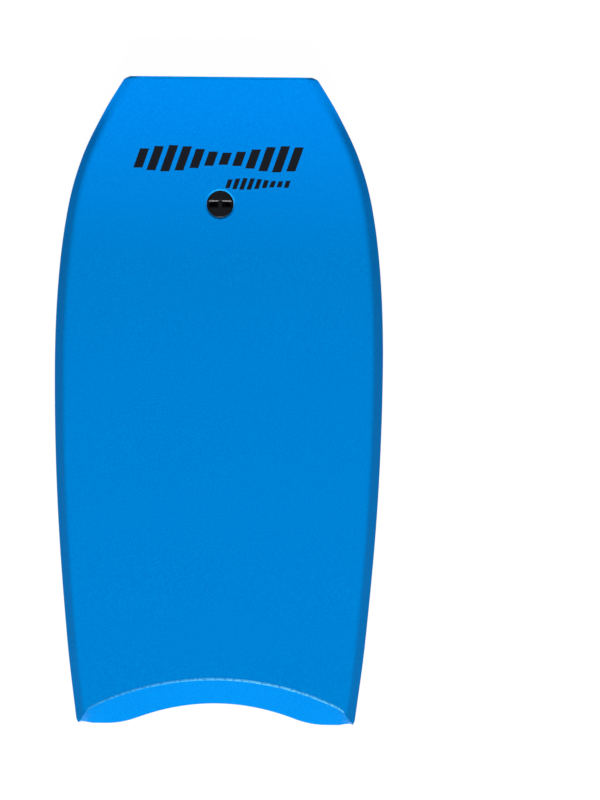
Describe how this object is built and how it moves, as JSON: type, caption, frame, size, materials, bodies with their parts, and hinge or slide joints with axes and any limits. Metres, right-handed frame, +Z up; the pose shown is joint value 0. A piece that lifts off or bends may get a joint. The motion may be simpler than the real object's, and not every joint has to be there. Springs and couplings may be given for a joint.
{
  "type": "bodyboard",
  "caption": "Foam bodyboard with a squared nose, crescent tail, two-chine rails, a hard slick bottom sheet and a screwed two-part leash plug on its centre line.",
  "frame": {"origin": "under the middle of the board's box, on the plane that the flat of the slick rests on", "axes": "+Y towards the nose along the board's centre line, +Z up out of the deck, X across the board, which is symmetric about X = 0 apart from the nut's spanner pits"},
  "size_m": [0.5414, 1.067, 0.069],
  "materials": {
    "core_foam": "matte",
    "deck_foam": "matte",
    "rail_foam": "matte",
    "backing_foam": "matte",
    "slick_sheet": "satin",
    "plug_plastic": "satin"
  },
  "bodies": {
    "root": {"foam_core": "core_foam", "deck_skin": "deck_foam", "nose_skin": "deck_foam", "tail_skin": "deck_foam", "left_rail_skin": "rail_foam", "right_rail_skin": "rail_foam", "slick_backing": "backing_foam", "slick_skin": "slick_sheet", "plug_head": "plug_plastic", "plug_nut": "plug_plastic"}
  },
  "joints": []
}
